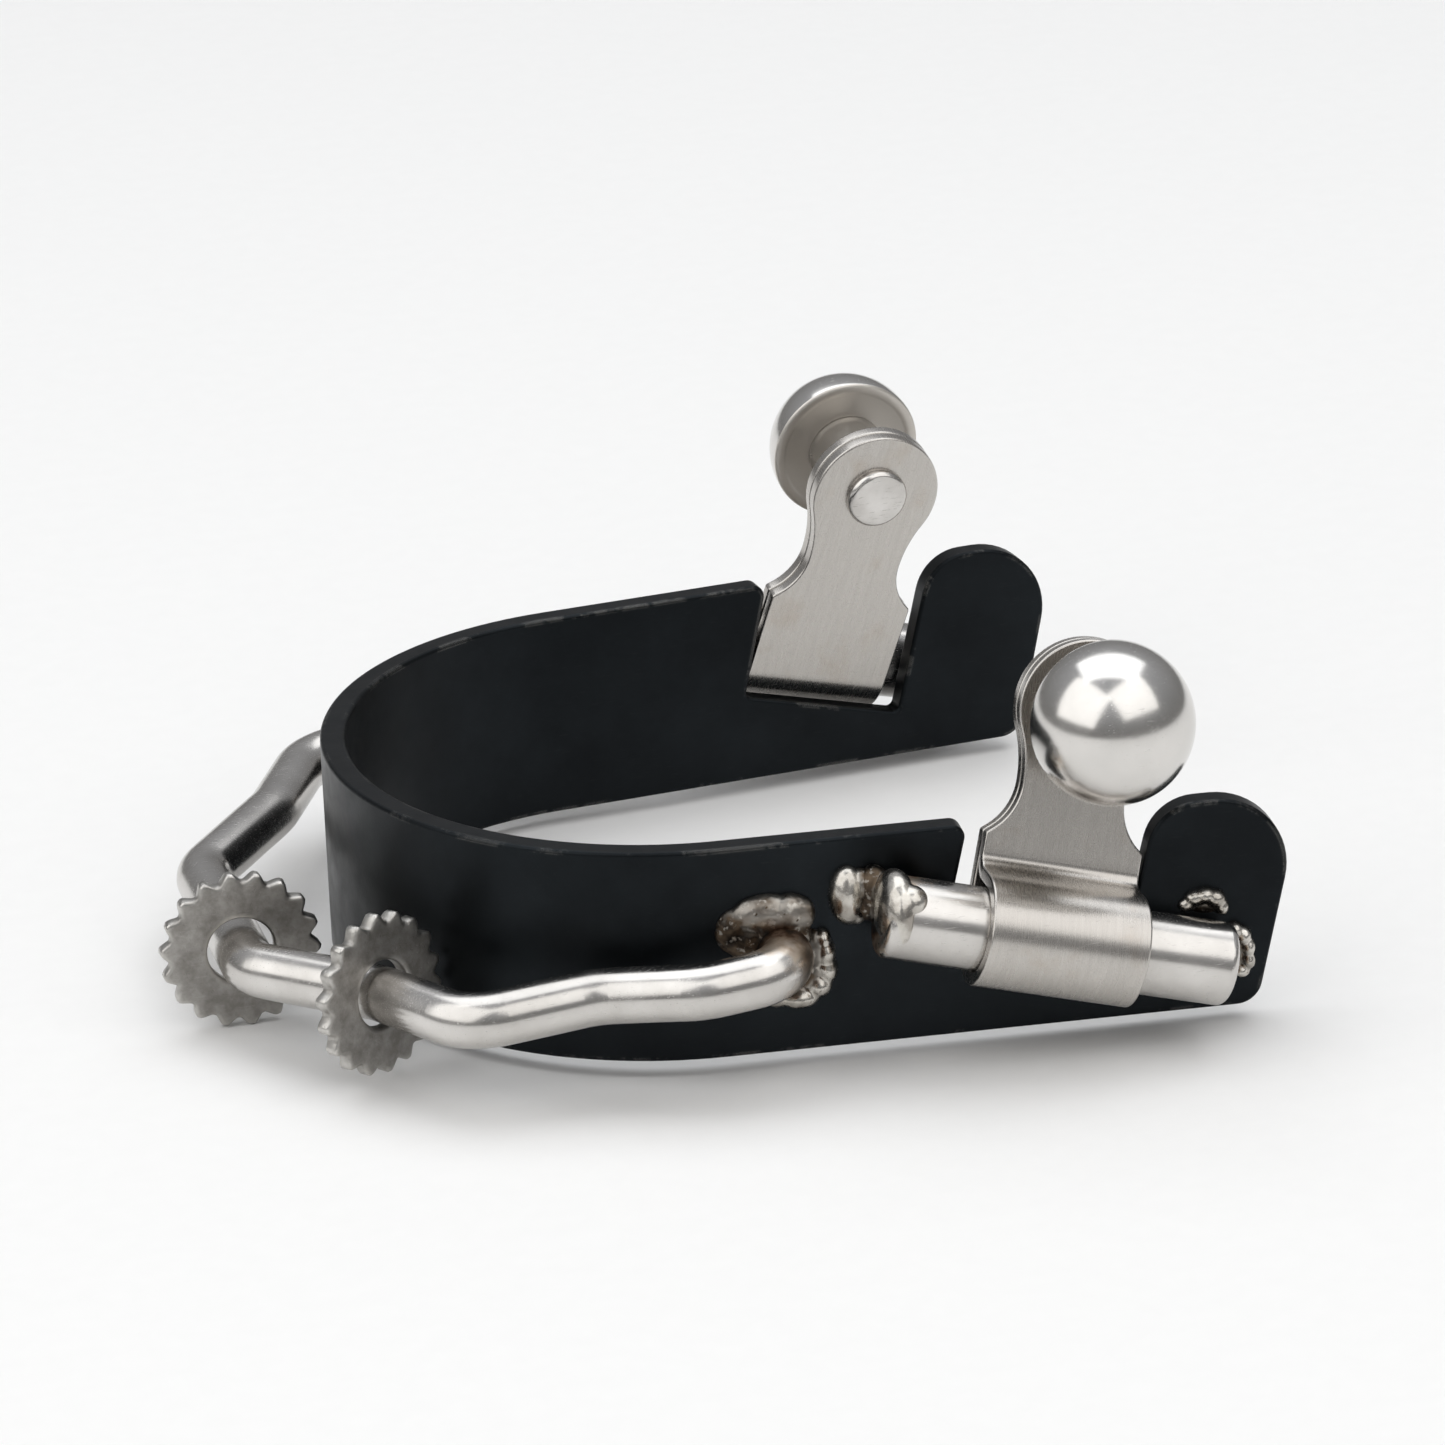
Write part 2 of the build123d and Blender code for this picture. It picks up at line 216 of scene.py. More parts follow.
finish_metal(tree, shader, colour, roughness, height, 0.006 * MM, metallic=0.9)
dress(["heel_band"], black_steel)

# Rowels. Two flat toothed discs punched from 1.8 mm stainless sheet and tumbled dull. They are threaded
# loose on the bar before its last bends, and their teeth are rubbed bright.
ROWEL_TIP = 9.41 * MM
ROWEL_ROOT = 8.4 * MM
ROWEL_HOLE = 3.95 * MM
ROWEL_THICKNESS = 1.8 * MM
ROWEL_TEETH = 18
ROWEL_EDGE = 0.32 * MM
STEPS_PER_TOOTH = 14
VALLEY_END = 0.88   # where a valley turns up towards the point, 0 at the point to 1 between two teeth
FLANK = 0.74        # length of the climb to the point, on the same measure
DENT_DEPTH = 0.012  # knocks in the teeth, as a share of the radius
ROWEL_STEEL = (0.40, 0.385, 0.365, 1)
ROWEL_STAIN = (0.25, 0.238, 0.22, 1)
RUBBED_STEEL = (0.60, 0.585, 0.555, 1)


def make_piece(name, points, faces, material, body, stands_for, wear=None):
    # A smooth mesh that rides on a body and stands for CAD nodes. wear is 0 to 1 at each point
    mesh = bpy.data.meshes.new(name)
    mesh.from_pydata(points, [], faces)
    if wear is not None:
        mesh.attributes.new("wear", "FLOAT", "POINT").data.foreach_set("value", wear)
    mesh.polygons.foreach_set("use_smooth", [True] * len(mesh.polygons))
    mesh.validate()
    shell = bmesh.new()
    shell.from_mesh(mesh)
    bmesh.ops.recalc_face_normals(shell, faces=shell.faces)
    shell.to_mesh(mesh)
    shell.free()
    mesh.materials.append(material)
    piece = bpy.data.objects.new(name, mesh)
    bpy.context.scene.collection.objects.link(piece)
    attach(piece, body)
    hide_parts(*stands_for)
    return piece


def axes_at(origin, along, out):
    # Own axes of a piece: x along, y up the piece, z outwards
    matrix = Matrix((along, out.cross(along), out)).transposed().to_4x4()
    matrix.translation = origin
    return matrix


def tooth_radius(share):
    # From one valley to the next: a wide rounded valley and a narrow blunt point
    from_tip = abs(share - 0.5) * 2
    climb = min(1.0, max(0.0, (VALLEY_END - from_tip) / FLANK))
    rise = 0.5 * climb ** 2 * (3 - 2 * climb) + 0.5 * climb
    return ROWEL_ROOT + (ROWEL_TIP - ROWEL_ROOT) * rise


def make_rowel(name, joint, material):
    # Rings of points, from the hole round the outside and back to the hole
    count = ROWEL_TEETH * STEPS_PER_TOOTH
    half = ROWEL_THICKNESS / 2
    side = [  # (0 at the hole to 1 at the teeth, offset outwards, height, wear)
        (0, 0.0, half - ROWEL_EDGE, 0.5),
        (0, 0.10, half - ROWEL_EDGE * 0.4, 0.7),
        (0, 0.30, half - ROWEL_EDGE * 0.1, 0.45),
        (0, 0.75, half, 0.0),
        (0.5, 0.0, half, 0.0),
        (1, -1.9, half, 0.0),
        (1, -0.75, half, 0.15),
        (1, -0.32, half - ROWEL_EDGE * 0.12, 0.7),
        (1, -0.10, half - ROWEL_EDGE * 0.45, 1.0),
        (1, 0.0, half - ROWEL_EDGE, 0.9),
    ]
    rings = side + [(share, offset, -height, wear) for share, offset, height, wear in reversed(side)]
    spin = next(row for row in frame["joints"] if row["name"] == joint)
    axis = Vector(spin["axis"]).normalized()
    matrix = axes_at(Vector(spin["pos_m"]), axis.orthogonal().normalized(), axis)
    points, wear = [], []
    for share, offset, height, worn in rings:
        for step in range(count):
            angle = 2 * pi * step / count
            tooth = tooth_radius((step % STEPS_PER_TOOTH) / STEPS_PER_TOOTH)
            middle = (ROWEL_HOLE + ROWEL_ROOT) / 2
            base = {0: ROWEL_HOLE, 0.5: middle, 1: tooth}[share]
            radius = base + offset * MM
            dent = 1 + DENT_DEPTH * noise.noise((step * 0.21, height * 900, 4.0)) * (share == 1)
            spot = Vector((radius * dent * cos(angle), radius * dent * sin(angle), height))
            points.append(matrix @ spot)
            on_tip = (tooth - ROWEL_ROOT) / (ROWEL_TIP - ROWEL_ROOT) if share == 1 else 1
            wear.append(worn * (0.35 + 0.65 * on_tip))
    faces = []
    for ring in range(len(rings)):
        first = ring * count
        second = (ring + 1) % len(rings) * count
        for step in range(count):
            beyond = (step + 1) % count
            faces.append((first + step, first + beyond, second + beyond, second + step))
    return make_piece(
        name + "_disc", points, faces, material, name + "_body", [name], wear
    )


rowel_steel, tree, shader, place = start_metal("tumbled_rowel_steel")
marks = place_group(tree, SCRATCHES, {"Place": place, "Fineness": 8000.0})
rubbed = add_node(tree, "ShaderNodeAttribute", attribute_name="wear").outputs["Fac"]
clouds = speckle(tree, place, 420.0, 5.0, 0.65)
pits = remap(tree, speckle(tree, place, 1900.0, 2.0), 0.30, 0.38)
colour = blend_colours(tree, remap(tree, clouds, 0.38, 0.66), ROWEL_STAIN, ROWEL_STEEL)
colour = blend_colours(tree, calculate(tree, "MULTIPLY", marks["Lines"], 0.16), colour, RUBBED_STEEL)
uneven = remap(tree, speckle(tree, place, 900.0, 3.0), 0.3, 0.6, 0.35, 1.0)
rubbed = calculate(tree, "MULTIPLY", rubbed, uneven, clamp=True)
colour = blend_colours(tree, rubbed, colour, RUBBED_STEEL)
roughness = remap(tree, marks["Haze"], 0.3, 0.7, 0.40, 0.56)
roughness = calculate(tree, "MULTIPLY_ADD", rubbed, -0.22, roughness)
height = calculate(tree, "MULTIPLY_ADD", pits, 0.6, clouds)
finish_metal(tree, shader, colour, roughness, height, 0.03 * MM)
make_rowel("rear_rowel", "rear_rowel_spin", rowel_steel)
make_rowel("side_rowel", "side_rowel_spin", rowel_steel)

# Rowel bar and hinge barrels. The bar is a 6.4 mm stainless rod bent cold round the heel and polished; the
# barrels are 9.5 mm rod of the same steel, sawn to length and polished. All three are welded to the arms,
# and the heat of welding has left straw and brown tints at their ends.
STAINLESS = (0.70, 0.68, 0.655, 1)
STAINLESS_DULL = (0.52, 0.50, 0.475, 1)
STRAW_TINT = (0.50, 0.33, 0.17, 1)
BROWN_TINT = (0.16, 0.085, 0.045, 1)
SOOT = (0.020, 0.017, 0.015, 1)


def heat_tint_group():
    # Temper colours round a weld, the same on both arms: straw at the fringe, then brown, then soot
    group, given, out = start_group(
        "heat_tint",
        [("Place", "NodeSocketVector", None), ("Weld", "NodeSocketVector", None),
         ("Soot Reach", "NodeSocketFloat", 0.004), ("Tint Reach", "NodeSocketFloat", 0.009)],
        [("Tint", "NodeSocketColor"), ("Amount", "NodeSocketFloat")],
    )
    mirrored = add_node(group, "ShaderNodeVectorMath", {0: given["Place"]}, operation="ABSOLUTE")
    side = add_node(group, "ShaderNodeSeparateXYZ", {0: mirrored.outputs[0]}).outputs["Y"]
    parts = add_node(group, "ShaderNodeSeparateXYZ", {0: given["Place"]}).outputs
    folded = add_node(group, "ShaderNodeCombineXYZ", {"X": parts["X"], "Y": side, "Z": parts["Z"]})
    distance = add_node(
        group, "ShaderNodeVectorMath", {0: folded.outputs[0], 1: given["Weld"]}, operation="DISTANCE"
    ).outputs["Value"]
    ragged = speckle(group, given["Place"], 520.0, 4.0)
    distance = calculate(group, "MULTIPLY_ADD", calculate(group, "SUBTRACT", ragged, 0.5), 0.006, distance)
    span = add_node(
        group, "ShaderNodeMapRange", {0: distance, 1: given["Soot Reach"], 2: given["Tint Reach"]}
    ).outputs[0]
    colour = blend_colours(group, remap(group, span, 0.0, 0.25), SOOT, BROWN_TINT)
    colour = blend_colours(group, remap(group, span, 0.25, 0.7), colour, STRAW_TINT)
    group.links.new(colour, out["Tint"])
    group.links.new(remap(group, span, 1.0, 0.15), out["Amount"])
    return group


HEAT_TINT = heat_tint_group()


def folded_middle(node):
    # The middle of a right-hand weld, folded over to the positive side
    low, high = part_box(node)
    middle = (low + high) / 2
    return (middle.x, abs(middle.y), middle.z)


polished_steel, tree, shader, place = start_metal("polished_stainless")
marks = place_group(tree, SCRATCHES, {"Place": place, "Fineness": 6500.0})
clouds = speckle(tree, place, 90.0, 4.0)
colour = blend_colours(tree, remap(tree, clouds, 0.35, 0.7), STAINLESS_DULL, STAINLESS)
tints = None
for node, soot_reach, tint_reach in (
    ("rowel_bar_weld_right", 0.0030, 0.0084),
    ("rear_puddle_right", 0.0042, 0.0075),
    ("front_end_bead_right", 0.0020, 0.0048),
):
    heat = place_group(
        tree, HEAT_TINT,
        {"Place": place, "Weld": folded_middle(node), "Soot Reach": soot_reach, "Tint Reach": tint_reach},
    )
    colour = blend_colours(tree, heat["Amount"], colour, heat["Tint"])
    tints = heat["Amount"] if tints is None else calculate(tree, "MAXIMUM", tints, heat["Amount"])
roughness = remap(tree, marks["Haze"], 0.3, 0.7, 0.18, 0.27)
roughness = calculate(tree, "MULTIPLY_ADD", marks["Lines"], 0.12, roughness)
roughness = calculate(tree, "MULTIPLY_ADD", tints, 0.22, roughness)
waves = speckle(tree, place, 130.0, 1.0)
height = calculate(tree, "MULTIPLY_ADD", marks["Lines"], -0.05, waves)
finish_metal(tree, shader, colour, roughness, height, 0.05 * MM)
dress(["rowel_bar", "hinge_barrel_right", "hinge_barrel_left"], polished_steel)

# Hangers. Each is one 18.6 mm strap of 1.6 mm stainless, folded round its barrel so that both leaves meet
# above it, with shoulders, a waisted neck and a round head, and brushed along its length.
BARREL_RADIUS = 4.76 * MM
BARREL_PITCH = radians(14.6)
BARREL_STATION = 33.8 * MM
BARREL_HEIGHT = 12.5 * MM
BARREL_GAP = 0.25 * MM
HANGER_LEAN = radians(12.0)
HANGER_SLIDE = {"right": 0.0, "left": -1.5 * MM}
STRAP_THICKNESS = 1.6 * MM
LEAF_GAP = 0.05 * MM
STRAP_EDGE = 0.28 * MM
FOLD_INNER = 4.84 * MM
FOLD_OUTER = FOLD_INNER + STRAP_THICKNESS
FOLD_MIDDLE = FOLD_INNER + STRAP_THICKNESS / 2
CREASE_HEIGHT = 5.6 * MM
CREASE_RADIUS = 2.3 * MM
HALF_WIDTH = 9.3 * MM
PLATE_START = 9.2 * MM
SHOULDER = 10.6 * MM
NECK_HEIGHT = 16.4 * MM
NECK_HALF = 6.1 * MM
HEAD_HEIGHT = 25.8 * MM
HEAD_RADIUS = 8.1 * MM
BRUSHED_STEEL = (0.53, 0.505, 0.475, 1)
BRUSHED_DARK = (0.49, 0.466, 0.438, 1)
HANGER_STAIN = (0.40, 0.33, 0.26, 1)

reach = hypot(
    (HEEL_X_AXIS + BAND_THICKNESS / 2) * sin(ARM_FLARE), (HEEL_Y_AXIS + BAND_THICKNESS / 2) * cos(ARM_FLARE)
)
arm_axes = axes_at(
    Vector((HEEL_X, -reach / cos(ARM_FLARE), BAND_BOTTOM)),
    Vector((cos(ARM_FLARE), -sin(ARM_FLARE), 0)),
    Vector((-sin(ARM_FLARE), -cos(ARM_FLARE), 0)),
)
MIRROR = {"right": Matrix.Identity(4), "left": Matrix.Scale(-1, 4, Vector((0, 1, 0)))}
barrel_axes = (
    arm_axes
    @ Matrix.Translation((BARREL_STATION, BARREL_HEIGHT, BARREL_GAP + BARREL_RADIUS))
    @ Matrix.Rotation(-BARREL_PITCH, 4, "Z")
)


def hanger_axes(side):
    # x along the barrel, y up the hanger, z outwards, from the barrel's axis
    slide = Matrix.Translation((HANGER_SLIDE[side], 0, 0))
    return MIRROR[side] @ barrel_axes @ slide @ Matrix.Rotation(-HANGER_LEAN, 4, "X")


def arc(middle, radius, start, end, steps):
    return [
        (middle[0] + radius * cos(start + (end - start) * i / steps),
         middle[1] + radius * sin(start + (end - start) * i / steps))
        for i in range(steps + 1)
    ]


def strap_line():
    # The strap's middle in section, as (out, up): down the inner leaf, round the fold, up the outer leaf
    inner_leaf = -FOLD_MIDDLE - LEAF_GAP / 2
    outer_leaf = -FOLD_OUTER + 1.5 * STRAP_THICKNESS + LEAF_GAP / 2
    turn = pi - 2 * atan(CREASE_HEIGHT / FOLD_INNER)
    leave = Vector((FOLD_MIDDLE * cos(turn), FOLD_MIDDLE * sin(turn)))
    run = (leave.x - outer_leaf) / sin(turn)
    half_bend = pi / 2 - turn / 2
    trim = CREASE_RADIUS * cos(half_bend) / sin(half_bend)
    middle = Vector((outer_leaf + CREASE_RADIUS, leave.y + run * cos(turn) + trim))
    line = [(inner_leaf, PLATE_START), (-FOLD_MIDDLE, PLATE_START * 0.5)]
    line += arc((0, 0), FOLD_MIDDLE, pi, 2 * pi + turn, 48)
    line += arc(middle, CREASE_RADIUS, -pi / 2 - (pi / 2 - turn), -pi, 10)
    line += [(outer_leaf, PLATE_START)]
    return line


def head_outline():
    # Half the front view above the shoulders' start, as (half width, height), from the side to the top
    step = HALF_WIDTH - NECK_HALF
    drop = NECK_HEIGHT - SHOULDER
    cove = (step ** 2 + drop ** 2) / (2 * step)
    rise = HEAD_HEIGHT - NECK_HEIGHT
    waist = (rise ** 2 + NECK_HALF ** 2 - HEAD_RADIUS ** 2) / (2 * (HEAD_RADIUS - NECK_HALF))
    below = asin(drop / cove)
    above = asin(rise / (waist + HEAD_RADIUS))
    outline = [
        (HALF_WIDTH, PLATE_START), (HALF_WIDTH, SHOULDER - 0.25 * MM), (HALF_WIDTH - 0.06 * MM, SHOULDER),
    ]
    outline += arc((NECK_HALF + cove, NECK_HEIGHT), cove, pi + below, pi, 14)[1:]
    outline += arc((NECK_HALF + waist, NECK_HEIGHT), waist, pi, pi - above, 10)[1:]
    outline += arc((0, HEAD_HEIGHT), HEAD_RADIUS, -above, pi / 2, 26)[1:]
    return outline


def make_hanger(side, material):
    # A thin sheet along the strap's middle, given its thickness; "grain" is where the brush ran, in mm
    line = strap_line()
    half = head_outline()
    whole = half + [(-x, y) for x, y in reversed(half[:-1])]
    sheet = bmesh.new()
    grain = sheet.loops.layers.uv.new("grain")
    rows = []
    along, previous = 0.0, line[0]
    for out, up in line:
        along += hypot(out - previous[0], up - previous[1])
        previous = (out, up)
        rows.append((along, [sheet.verts.new((x, up, out)) for x in (HALF_WIDTH, -HALF_WIDTH)]))
    for (s0, row0), (s1, row1) in zip(rows, rows[1:]):
        face = sheet.faces.new((row0[0], row1[0], row1[1], row0[1]))
        for loop, distance in zip(face.loops, (s0, s1, s1, s0)):
            loop[grain].uv = (loop.vert.co.x / MM, distance / MM)
    for (start, row), sign in ((rows[0], -1), (rows[-1], 1)):
        out = row[0].co.z
        ring = [row[0]] + [sheet.verts.new((x, y, out)) for x, y in whole[1:-1]] + [row[1]]
        face = sheet.faces.new(ring if sign > 0 else ring[::-1])
        for loop in face.loops:
            distance = start + sign * (loop.vert.co.y - PLATE_START)
            loop[grain].uv = (loop.vert.co.x / MM, distance / MM)
    bmesh.ops.recalc_face_normals(sheet, faces=sheet.faces)
    bmesh.ops.transform(sheet, matrix=hanger_axes(side), verts=sheet.verts)
    if side == "left":
        bmesh.ops.reverse_faces(sheet, faces=sheet.faces)
    for face in sheet.faces:
        face.smooth = True
    name = "strap_hanger_" + side
    mesh = bpy.data.meshes.new(name)
    sheet.to_mesh(mesh)
    sheet.free()
    mesh.materials.append(material)
    piece = bpy.data.objects.new(name, mesh)
    bpy.context.scene.collection.objects.link(piece)
    solid = piece.modifiers.new("thickness", "SOLIDIFY")
    solid.thickness = STRAP_THICKNESS - LEAF_GAP
    solid.offset = 0
    solid.use_even_offset = True
    edges = piece.modifiers.new("edges", "BEVEL")
    edges.width = STRAP_EDGE
    edges.segments = 3
    edges.limit_method = "ANGLE"
    edges.angle_limit = radians(40)
    shading = piece.modifiers.new("shading", "WEIGHTED_NORMAL")
    shading.keep_sharp = False
    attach(piece, "strap_hanger_" + side)
    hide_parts("hanger_" + side)


brushed_steel, tree, shader, place = start_metal("brushed_strap_steel")
laid = add_node(tree, "ShaderNodeUVMap", uv_map="grain").outputs[0]
across = add_node(tree, "ShaderNodeMapping", {"Vector": laid, "Scale": (9.0, 0.22, 1.0)}).outputs[0]
streaks = speckle(tree, across, 1.0, 6.0, 0.7)
broad = add_node(tree, "ShaderNodeMapping", {"Vector": laid, "Scale": (1.6, 0.10, 1.0)}).outputs[0]
bands = speckle(tree, broad, 1.0, 3.0)
clouds = speckle(tree, place, 130.0, 5.0, 0.6)
marks = place_group(tree, SCRATCHES, {"Place": place, "Fineness": 6000.0})
worn = place_group(tree, EDGE_WEAR, {"Place": place, "Reach": 0.5 * MM, "Coverage": 0.9})["Wear"]
colour = blend_colours(tree, remap(tree, bands, 0.3, 0.7), BRUSHED_DARK, BRUSHED_STEEL)
colour = blend_colours(tree, remap(tree, clouds, 0.55, 0.75, 0.0, 0.45), colour, HANGER_STAIN)
colour = blend_colours(tree, calculate(tree, "MULTIPLY", worn, 0.7), colour, RUBBED_STEEL)
roughness = remap(tree, streaks, 0.3, 0.7, 0.22, 0.31)
roughness = calculate(tree, "MULTIPLY_ADD", marks["Lines"], 0.1, roughness)
height = calculate(tree, "MULTIPLY_ADD", clouds, 0.6, streaks)
finish_metal(tree, shader, colour, roughness, height, 0.008 * MM)
for side in ("right", "left"):
    make_hanger(side, brushed_steel)

# Buttons. A turned stainless dome on a short 9.5 mm neck, held to the hanger by a rivet with a flat
# bevelled head on the inner face. The dome is mirror polished, its back and neck only turned.
BUTTON_RADIUS = 9.29 * MM
BUTTON_RIM = 0.9 * MM
NECK_RADIUS = 4.75 * MM
NECK_LENGTH = 8.5 * MM
RIVET_HEAD = 3.8 * MM
RIVET_HEAD_HEIGHT = 1.1 * MM
MIRROR_STEEL = (0.64, 0.625, 0.60, 1)
TURNED_STEEL = (0.56, 0.53, 0.49, 1)
ROUND_STEPS = 144
DOME_BACK_RINGS = 9


def turned_piece(name, side, profile, material, node, turned_rings=0):
    # Turned about the button's axis. Each step is (radius, distance out from the hanger's inner face).
    # The first turned_rings steps are left as the lathe cut them
    centre = hanger_axes(side) @ Matrix.Translation((0, HEAD_HEIGHT, -FOLD_OUTER))
    points, faces = [], []
    for radius, out in profile:
        for step in range(ROUND_STEPS):
            angle = 2 * pi * step / ROUND_STEPS
            points.append(centre @ Vector((radius * cos(angle), radius * sin(angle), out)))
    for ring in range(len(profile) - 1):
        for step in range(ROUND_STEPS):
            beyond = (step + 1) % ROUND_STEPS
            first, second = ring * ROUND_STEPS, (ring + 1) * ROUND_STEPS
            faces.append((first + step, first + beyond, second + beyond, second + step))
    last = (len(profile) - 1) * ROUND_STEPS
    faces.append(tuple(range(ROUND_STEPS - 1, -1, -1)))
    faces.append(tuple(last + step for step in range(ROUND_STEPS)))
    wear = [float(ring < turned_rings) for ring in range(len(profile)) for _ in range(ROUND_STEPS)]
    return make_piece(
        name + "_" + side, points, faces, material, "strap_hanger_" + side, [node + "_" + side], wear
    )


def turned_finish(name, bright, dull, low, high, ripple):
    # A lathe finish: hairlines and a faint haze over the metal, and darker patches of handling
    material, tree, shader, place = start_metal(name)
    marks = place_group(tree, SCRATCHES, {"Place": place, "Fineness": 7500.0})
    clouds = speckle(tree, place, 170.0, 5.0)
    colour = blend_colours(tree, remap(tree, clouds, 0.36, 0.66), dull, bright)
    roughness = remap(tree, marks["Haze"], 0.3, 0.7, low, high)
    roughness = calculate(tree, "MULTIPLY_ADD", marks["Lines"], 0.10, roughness)
    as_cut = add_node(tree, "ShaderNodeAttribute", attribute_name="wear").outputs["Fac"]
    colour = blend_colours(tree, as_cut, colour, TURNED_STEEL)
    roughness = calculate(tree, "MULTIPLY_ADD", as_cut, 0.28, roughness)
    height = calculate(tree, "MULTIPLY_ADD", marks["Lines"], -0.3, clouds)
    finish_metal(tree, shader, colour, roughness, height, ripple)
    return material


mirror_steel = turned_finish("mirror_button_steel", MIRROR_STEEL, STAINLESS, 0.15, 0.21, 0.006 * MM)
turned_steel = turned_finish("turned_neck_steel", STAINLESS_DULL, TURNED_STEEL, 0.26, 0.40, 0.02 * MM)
rivet_steel = turned_finish("rivet_steel", STAINLESS, STAINLESS_DULL, 0.16, 0.26, 0.03 * MM)
face_out = 2 * STRAP_THICKNESS
back = face_out + NECK_LENGTH
for side in ("right", "left"):
    dome = [
        (0.4 * NECK_RADIUS, back + 0.30 * MM), (NECK_RADIUS, back + 0.30 * MM),
        (7.7 * MM, back + 0.28 * MM), (8.0 * MM, back + 0.12 * MM), (8.25 * MM, back + 0.02 * MM),
        (8.5 * MM, back), (8.9 * MM, back), (9.1 * MM, back + 0.07 * MM), (9.24 * MM, back + 0.2 * MM),
        (BUTTON_RADIUS, back + 0.38 * MM),
    ]
    for degrees_up in range(0, 90, 2):
        rise = radians(degrees_up)
        dome.append((BUTTON_RADIUS * cos(rise), back + BUTTON_RIM + BUTTON_RADIUS * sin(rise)))
    turned_piece("button_dome", side, dome, mirror_steel, "button", DOME_BACK_RINGS)
    neck = [
        (NECK_RADIUS * 0.5, face_out - 0.4 * MM), (NECK_RADIUS, face_out - 0.4 * MM),
        (NECK_RADIUS, face_out + 0.1 * MM), (NECK_RADIUS - 0.12 * MM, face_out + 0.35 * MM),
        (NECK_RADIUS - 0.15 * MM, face_out + 1.0 * MM), (NECK_RADIUS - 0.15 * MM, back - 1.0 * MM),
        (NECK_RADIUS - 0.12 * MM, back - 0.35 * MM), (NECK_RADIUS, back - 0.1 * MM),
        (NECK_RADIUS, back + 0.35 * MM), (NECK_RADIUS * 0.5, back + 0.35 * MM),
    ]
    turned_piece("button_shank", side, neck, turned_steel, "button_neck")
    rivet = [
        (RIVET_HEAD * 0.3, 0.3 * MM), (RIVET_HEAD - 0.3 * MM, 0.3 * MM), (RIVET_HEAD - 0.02 * MM, 0.0),
        (RIVET_HEAD, -0.15 * MM), (RIVET_HEAD, -0.55 * MM), (RIVET_HEAD - 0.06 * MM, -0.72 * MM),
        (RIVET_HEAD - 0.36 * MM, -1.03 * MM), (RIVET_HEAD - 0.5 * MM, -1.09 * MM),
        (RIVET_HEAD - 0.8 * MM, -RIVET_HEAD_HEIGHT), (RIVET_HEAD * 0.5, -RIVET_HEAD_HEIGHT),
        (RIVET_HEAD * 0.1, -RIVET_HEAD_HEIGHT),
    ]
    turned_piece("button_rivet_head", side, rivet, rivet_steel, "button_rivet")

# Weld beads. Steel rod melted between the parts, so each bead is a frozen run of overlapping drops, shiny
# on its crowns, burnt brown and black between them, with pinholes where gas escaped.
WELD_STEP = 0.2 * MM
# Each drop is (station, height, out), (half sizes along, up, out), burnt 0 to 1; in mm on the arm
BEADS = {
    "rowel_bar_weld": [
        ((-1.7, 15.4, 0.0), (2.5, 2.8, 1.5), 0.85), ((1.6, 16.9, 0.2), (4.2, 2.7, 2.0), 0.40),
        ((4.2, 17.0, 0.3), (2.9, 2.4, 2.1), 0.42), ((6.0, 16.9, 0.1), (1.3, 1.9, 1.8), 0.5),
        ((1.6, 14.2, 0.2), (4.6, 3.4, 1.9), 0.9), ((4.6, 14.6, 0.4), (2.2, 2.2, 2.1), 0.8),
        ((3.2, 11.4, 0.0), (4.2, 4.4, 2.2), 0.85), ((6.6, 12.2, 0.0), (1.9, 2.6, 1.7), 0.7),
        ((8.1, 13.6, 0.2), (0.9, 1.2, 1.6), 0.15), ((8.3, 11.9, 0.2), (1.2, 1.8, 1.9), 0.15),
        ((8.4, 9.9, 0.2), (1.3, 1.8, 1.9), 0.12), ((7.4, 8.1, 0.2), (1.6, 1.5, 2.0), 0.2),
        ((6.6, 9.4, 0.0), (1.7, 2.2, 1.5), 0.8), ((5.2, 6.8, 0.2), (2.4, 1.3, 2.0), 0.15),
        ((2.8, 6.9, 0.0), (1.9, 1.1, 1.6), 0.4),
    ],
    "rear_bead": [
        ((11.0, 18.5, 0.1), (2.2, 3.6, 2.4), 0.0), ((11.9, 16.6, 0.0), (1.5, 1.8, 1.7), 0.5),
        ((12.6, 19.6, 0.3), (1.2, 2.0, 1.7), 0.8),
    ],
    "rear_puddle": [
        ((14.0, 19.6, 0.6), (1.9, 2.3, 2.0), 1.0), ((13.3, 17.4, 0.4), (1.5, 2.2, 1.8), 1.0),
        ((14.8, 16.2, 0.8), (1.5, 1.9, 1.8), 0.9), ((15.0, 18.8, 2.2), (1.4, 2.4, 2.2), 0.7),
        ((15.7, 17.8, 5.0), (2.6, 5.0, 5.05), 0.0), ((17.0, 19.7, 7.2), (1.9, 2.0, 2.1), 0.0),
    ],
    "front_upper_bead": [
        ((50.1, 13.1, 0.1), (1.1, 0.8, 0.9), 0.3), ((51.0, 13.9, 0.2), (1.2, 0.9, 1.1), 0.1),
        ((52.2, 14.2, 0.3), (1.3, 0.9, 1.3), 0.05), ((53.4, 13.7, 0.3), (1.2, 1.0, 1.4), 0.1),
        ((54.1, 12.6, 0.2), (0.9, 1.1, 1.3), 0.25), ((52.3, 12.8, 0.0), (1.9, 1.0, 0.7), 1.0),
    ],
    "front_end_bead": [
        ((55.6, 9.6, 0.2), (1.0, 0.9, 1.3), 0.25), ((56.6, 8.8, 0.3), (0.95, 1.1, 1.5), 0.1),
        ((57.1, 7.4, 0.3), (0.85, 1.3, 1.6), 0.05), ((57.1, 5.8, 0.3), (0.85, 1.2, 1.6), 0.1),
        ((56.3, 4.5, 0.2), (1.1, 0.9, 1.4), 0.2), ((55.1, 6.7, 0.0), (1.9, 2.7, 0.9), 1.0),
    ],
}
WELD_GREY = (0.36, 0.335, 0.30, 1)
